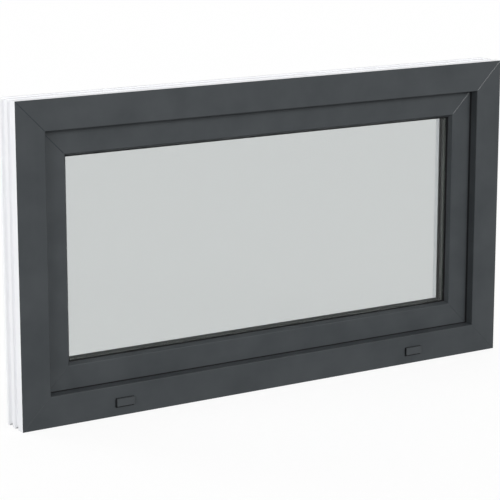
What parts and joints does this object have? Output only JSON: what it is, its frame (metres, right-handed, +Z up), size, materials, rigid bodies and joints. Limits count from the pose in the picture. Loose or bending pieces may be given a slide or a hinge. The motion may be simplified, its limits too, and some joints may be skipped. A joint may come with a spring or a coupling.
{
  "type": "tilt and turn window",
  "caption": "Wide tilt and turn window of welded plastic profile, dark grey outside and white inside, with a recessed sash, insulating glass, drain caps, hinges and lever handle.",
  "frame": {"origin": "on the underside of the sill, at the middle of the width and of the frame's depth", "axes": "X along the width, Y through the wall with the outside at -Y, Z up"},
  "size_m": [1.2, 0.1405, 0.665],
  "materials": {
    "white_profile": "smooth white plastic profile with a satin gloss",
    "anthracite_foil": "dark grey laminated foil with a fine leathery grain",
    "clear_glass": "float glass, faintly grey green",
    "black_rubber": "black rubber seal",
    "spacer_grey": "dark grey spacer between the panes",
    "anthracite_plastic": "dark grey moulded plastic",
    "hardware_white": "white coated metal",
    "pin_steel": "zinc plated steel"
  },
  "bodies": {
    "root": {"frame_sill": "white_profile", "frame_foil_sill": "anthracite_foil", "frame_head": "white_profile", "frame_foil_head": "anthracite_foil", "frame_left_jamb": "white_profile", "frame_foil_left_jamb": "anthracite_foil", "frame_right_jamb": "white_profile", "frame_foil_right_jamb": "anthracite_foil", "sash_bottom_rail": "white_profile", "sash_foil_bottom_rail": "anthracite_foil", "sash_top_rail": "white_profile", "sash_foil_top_rail": "anthracite_foil", "sash_left_stile": "white_profile", "sash_foil_left_stile": "anthracite_foil", "sash_right_stile": "white_profile", "sash_foil_right_stile": "anthracite_foil", "glazing_bead_bottom": "white_profile", "glazing_bead_top": "white_profile", "glazing_bead_left": "white_profile", "glazing_bead_right": "white_profile", "rebate_seal": "black_rubber", "overlap_seal": "black_rubber", "outer_glazing_seal": "black_rubber", "inner_glazing_seal": "black_rubber", "outer_pane": "clear_glass", "inner_pane": "clear_glass", "spacer_bar": "spacer_grey", "drain_cap_left": "anthracite_plastic", "drain_cap_right": "anthracite_plastic", "lower_hinge_bearing": "hardware_white", "lower_hinge_band": "hardware_white", "lower_hinge_pin": "pin_steel", "upper_hinge_bearing": "hardware_white", "upper_hinge_band": "hardware_white", "upper_hinge_pin": "pin_steel", "handle_rose": "hardware_white", "handle_lever": "hardware_white"}
  },
  "joints": []
}
